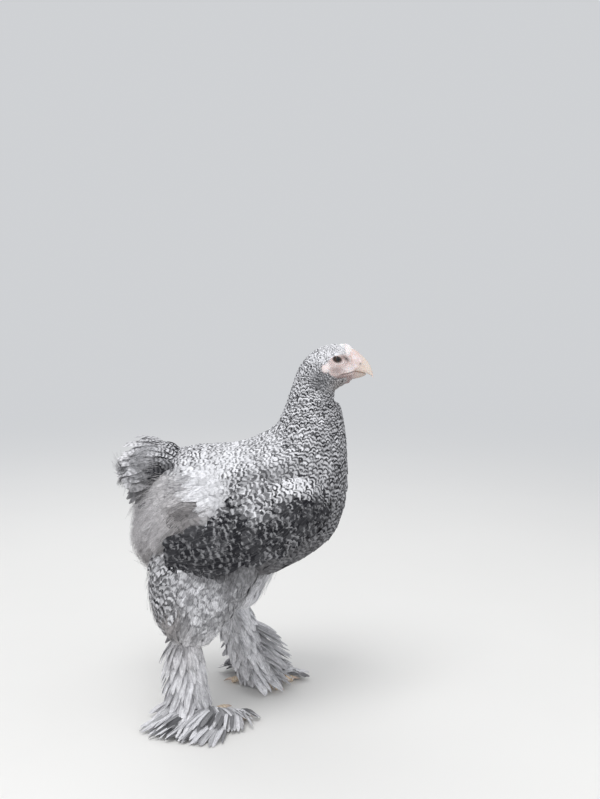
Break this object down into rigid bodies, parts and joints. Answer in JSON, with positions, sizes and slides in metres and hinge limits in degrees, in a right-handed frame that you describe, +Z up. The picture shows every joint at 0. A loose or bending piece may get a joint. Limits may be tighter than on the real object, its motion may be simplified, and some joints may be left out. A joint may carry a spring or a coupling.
{
  "type": "chicken",
  "caption": "Standing young hen with a small head, curved bill, low short tail, closed wings, fluffy thighs and feathered feet, in right-facing walk pose.",
  "frame": {"origin": "on the floor, under the middle of the bounding box", "axes": "+X is the way the bird faces, +Y its left side, +Z up"},
  "size_m": [0.3108, 0.2534, 0.4563],
  "materials": {
    "skin": "soft bare skin",
    "plumage": "barred feathers",
    "fluff": "soft pale down",
    "horn": "smooth horn",
    "eyeball": "wet and glossy",
    "scale": "scaled skin and feathers"
  },
  "bodies": {
    "root": {"head": "skin", "bill_upper": "horn", "bill_lower": "horn", "eye_right": "eyeball", "eye_left": "eyeball", "neck": "plumage", "torso": "plumage", "tail": "plumage", "wing_right": "plumage", "wing_left": "plumage", "thigh_right": "plumage", "shank_right": "fluff", "foot_right": "scale", "toe_inner_right": "scale", "claw_inner_right": "horn", "claw_middle_right": "horn", "claw_outer_right": "horn", "toe_hind_right": "scale", "claw_hind_right": "horn", "thigh_left": "plumage", "shank_left": "fluff", "foot_left": "scale", "toe_inner_left": "scale", "claw_inner_left": "horn", "claw_middle_left": "horn", "claw_outer_left": "horn", "toe_hind_left": "scale", "claw_hind_left": "horn", "rump": "fluff"}
  },
  "joints": []
}
